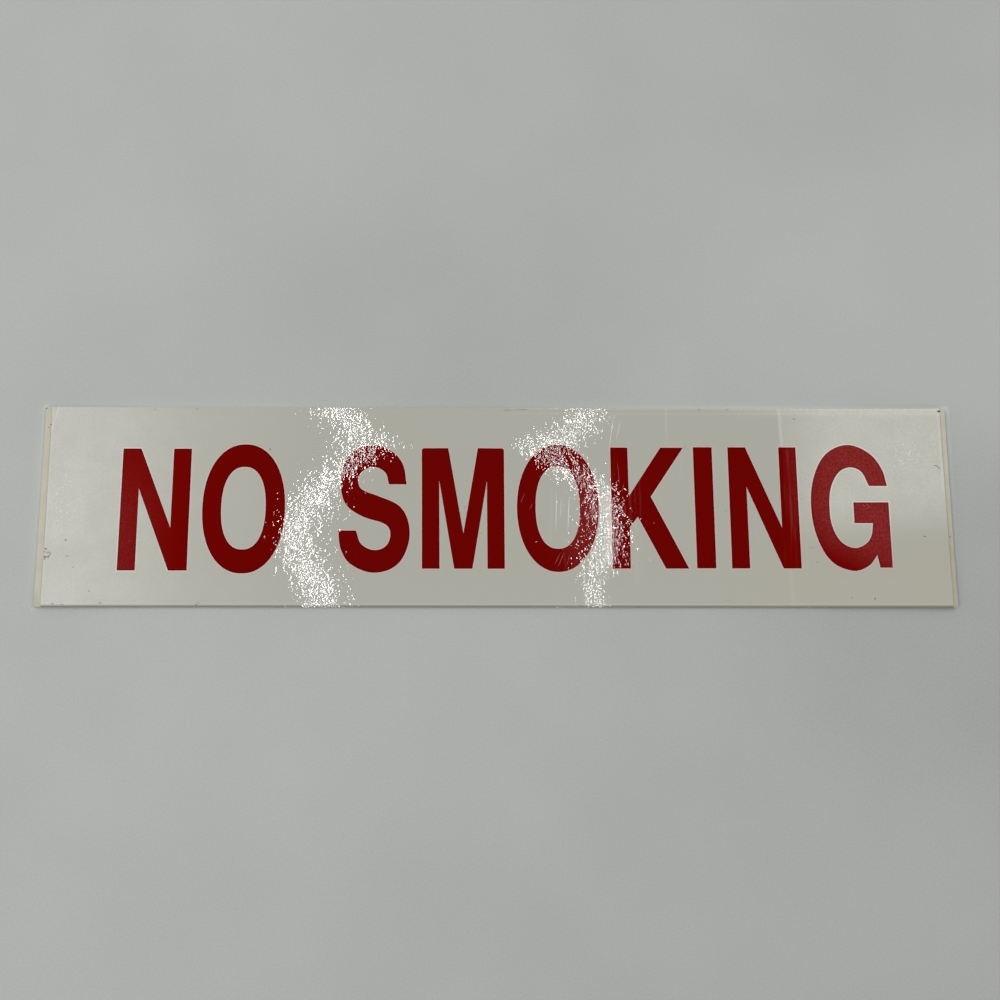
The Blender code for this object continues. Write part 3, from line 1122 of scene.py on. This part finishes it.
SCRATCH_STRAIGHT_SHARE = 0.2

# The smudge: its left side, its middle, its reach, and how its flecks crowd to the left and thin out
SMUDGE_EDGE = -168.45
SMUDGE_HEIGHT = -18.4
SMUDGE_REACH = (2.3, 2.5)
SMUDGE_FLECKS = 22
SMUDGE_SEED = 5
SMUDGE_CROWDING = 1.3
SMUDGE_NARROWING = 0.85
FLECK_SIZES = (0.16, 0.42)
FLECK_SHRINKING = 0.4
FLECK_LENGTH = 1.3
FLECK_WIDTH = 0.8


def speck_outline(x, y, half_length, half_width, turn):
    """A small ragged oval."""
    way = Vector((math.cos(math.radians(turn)), math.sin(math.radians(turn))))
    side = Vector((-way.y, way.x))
    outline = []
    for i in range(SPECK_CORNERS):
        angle = 2 * math.pi * i / SPECK_CORNERS
        ragged = 1.0 + SPECK_RAGGEDNESS * math.sin(3 * angle + 7 * x)
        out = way * (math.cos(angle) * half_length) + side * (math.sin(angle) * half_width)
        outline.append((Vector((x, y)) + out * ragged) * MM)
    return outline


def scratch_outline(x_start, y_start, x_end, y_end, half_width):
    """A scratch that tapers to a point at both ends."""
    start, end = Vector((x_start, y_start)), Vector((x_end, y_end))
    middle = (start + end) / 2
    along = (end - start) * SCRATCH_STRAIGHT_SHARE
    side = Vector((-along.y, along.x)).normalized() * half_width
    above = [middle - along + side, middle + along + side]
    below = [middle + along - side, middle - along - side]
    return [point * MM for point in [start, *above, end, *below]]


def ribbon_outline(points, half_width):
    """A hair along a smooth curve."""
    curve = smooth(points)
    left, right = [], []
    for i, point in enumerate(curve[1:-1], start=1):
        along = (curve[i + 1] - curve[i - 1]).normalized()
        side = Vector((-along.y, along.x)) * half_width
        left.append(point + side)
        right.append(point - side)
    return [point * MM for point in [curve[0], *left, curve[-1], *reversed(right)]]


def smudge_outlines():
    """Flecks of ground-in dirt against the film's left end, thinning out to the right."""
    place = random.Random(SMUDGE_SEED)
    outlines = []
    for _ in range(SMUDGE_FLECKS):
        out = place.random() ** SMUDGE_CROWDING
        x = SMUDGE_EDGE + SMUDGE_REACH[0] * out
        spread = place.uniform(-1.0, 1.0) * (1.0 - SMUDGE_NARROWING * out)
        y = SMUDGE_HEIGHT + SMUDGE_REACH[1] * spread
        size = place.uniform(*FLECK_SIZES) * (1.0 - FLECK_SHRINKING * out)
        turn = place.uniform(0, 180)
        outlines.append(speck_outline(x, y, size * FLECK_LENGTH, size * FLECK_WIDTH, turn))
    return outlines


def mark_outlines(specks, scratches=()):
    outlines = [speck_outline(*speck) for speck in specks]
    return outlines + [scratch_outline(*scratch) for scratch in scratches]


def add_marks(name, outlines, base, material):
    """Lays small flat marks over a sheet whose upper side is a base above the liner's underside."""
    surface = bmesh.new()
    for outline in outlines:
        verts = [surface.verts.new((point.x, point.y, base + lift(point.x, point.y))) for point in outline]
        surface.faces.new(verts)
    add_piece(name, surface, -MARK_THICKNESS, material)


def make_wear():
    dark = dirt_material("dark_dirt", DARK_DIRT)
    faint = dirt_material("faint_dirt", FAINT_DIRT)
    smudge = dirt_material("smudge_dirt", SMUDGE_DIRT)
    # Pale scratches, a pale speck and a painted highlight
    pale = dirt_material("pale_wear_and_highlight", PALE_WEAR_AND_HIGHLIGHT, WEAR_ROUGHNESS)
    pink = dirt_material("pink_wear", PINK_WEAR, WEAR_ROUGHNESS)
    over_film = FILM_TOP + MARK_LEVEL
    over_liner = LINER_THICKNESS + MARK_THICKNESS * 2
    dark_marks = mark_outlines(DARK_SPECKS) + [ribbon_outline(HAIR, HAIR_HALF_WIDTH)]
    pale_marks = mark_outlines(PALE_SPECKS_AND_HIGHLIGHT, PALE_SCRATCHES)
    pink_marks = mark_outlines(PINK_SPECKS, PINK_SCRATCHES)
    add_marks("dark_specks", dark_marks, over_film, dark)
    add_marks("faint_specks", mark_outlines(FAINT_SPECKS), over_film, faint)
    add_marks("smudge", smudge_outlines(), over_film, smudge)
    add_marks("liner_specks", mark_outlines(LINER_SPECKS), over_liner, dark)
    add_marks("pale_scratches", pale_marks, over_film, pale)
    add_marks("ink_scratches", pink_marks, over_film, pink)


# Floor, lamps, world and camera, in metres, with the camera's turn in degrees and its lens in millimetres

FLOOR_RADIUS = 6.0
FLOOR_SIDES = 64

# Two long tubes overhead, each its place across and its width
TUBE_HEIGHT = 1.5
TUBE_MIDDLE = 0.35
TUBE_LENGTH = 1.10
TUBE_RADIANCE = 32.0
TUBES = ((-0.234, 0.0058), (0.145, 0.0042))

# Soft square panels: name, place, side, radiance
SOFT_LAMPS = (
    ("soft_left", (-1.0, 0.0, 1.2), 0.8, 3.3),
    ("soft_back_right", (0.95, 0.8, 1.15), 1.2, 1.74),
)

# The surround: the heights between which it falls from pale to dark, and its share in the gloss
WORLD_FALL = (0.45, 0.85)
WORLD_PALE = 1.50
WORLD_DARK = 0.01
WORLD_MIRRORED = 0.3

CAMERA_PLACE = (-5.2 * MM, -102.6 * MM, 535.9 * MM)
CAMERA_TURN = (11.10, -0.66, -0.039)
CAMERA_LENS = 52.2
CAMERA_SENSOR = 36.0
CAMERA_NEAR = 0.01


def make_floor():
    mesh = bpy.data.meshes.new("floor")
    shape = bmesh.new()
    bmesh.ops.create_circle(shape, cap_ends=True, segments=FLOOR_SIDES, radius=FLOOR_RADIUS)
    shape.to_mesh(mesh)
    shape.free()
    mesh.materials.append(floor_material())
    floor = bpy.data.objects.new("floor", mesh)
    bpy.context.scene.collection.objects.link(floor)


def add_lamp(name, place, aim, length, width, radiance):
    """A rectangular lamp whose long side runs along Y, as bright as a radiance of 1 being white."""
    light = bpy.data.lights.new(name, "AREA")
    light.shape = "RECTANGLE"
    light.size = width
    light.size_y = length
    light.energy = radiance * math.pi * length * width
    lamp = bpy.data.objects.new(name, light)
    lamp.location = place
    lamp.rotation_euler = (Vector(aim) - Vector(place)).to_track_quat("-Z", "Y").to_euler()
    bpy.context.scene.collection.objects.link(lamp)


def make_lamps():
    for i, (x, width) in enumerate(TUBES, start=1):
        place = (x, TUBE_MIDDLE, TUBE_HEIGHT)
        add_lamp(f"tube_{i}", place, (x, TUBE_MIDDLE, 0.0), TUBE_LENGTH, width, TUBE_RADIANCE)
    for name, place, side, radiance in SOFT_LAMPS:
        add_lamp(name, place, (0.0, 0.0, 0.0), side, side, radiance)


def make_world():
    """A pale surround at eye level that falls to near dark overhead, and is dimmer in the gloss."""
    world = bpy.data.worlds.new("surround")
    world.use_nodes = True
    tree = world.node_tree
    background = tree.nodes["Background"]
    where = tree.nodes.new("ShaderNodeTexCoord")
    split = tree.nodes.new("ShaderNodeSeparateXYZ")
    tree.links.new(where.outputs["Generated"], split.inputs[0])
    fall = tree.nodes.new("ShaderNodeMapRange")
    fall.interpolation_type = "SMOOTHSTEP"
    set_range(fall, *WORLD_FALL, WORLD_PALE, WORLD_DARK)
    tree.links.new(split.outputs["Z"], fall.inputs["Value"])
    path = tree.nodes.new("ShaderNodeLightPath")
    mirrored = tree.nodes.new("ShaderNodeMapRange")
    set_range(mirrored, 0.0, 1.0, 1.0, WORLD_MIRRORED)
    tree.links.new(path.outputs["Is Glossy Ray"], mirrored.inputs["Value"])
    strength = tree.nodes.new("ShaderNodeMath")
    strength.operation = "MULTIPLY"
    tree.links.new(fall.outputs["Result"], strength.inputs[0])
    tree.links.new(mirrored.outputs["Result"], strength.inputs[1])
    tree.links.new(strength.outputs[0], background.inputs["Strength"])
    background.inputs["Color"].default_value = WHITE
    bpy.context.scene.world = world


def make_camera():
    data = bpy.data.cameras.new("camera")
    data.lens = CAMERA_LENS
    data.sensor_width = CAMERA_SENSOR
    data.clip_start = CAMERA_NEAR
    camera = bpy.data.objects.new("camera", data)
    camera.location = CAMERA_PLACE
    camera.rotation_euler = Euler([math.radians(turn) for turn in CAMERA_TURN])
    bpy.context.scene.collection.objects.link(camera)
    bpy.context.scene.camera = camera


make_camera()
make_liner()
make_film()
make_print()
make_wear()
make_floor()
make_lamps()
make_world()
bpy.context.scene.view_settings.view_transform = "Standard"
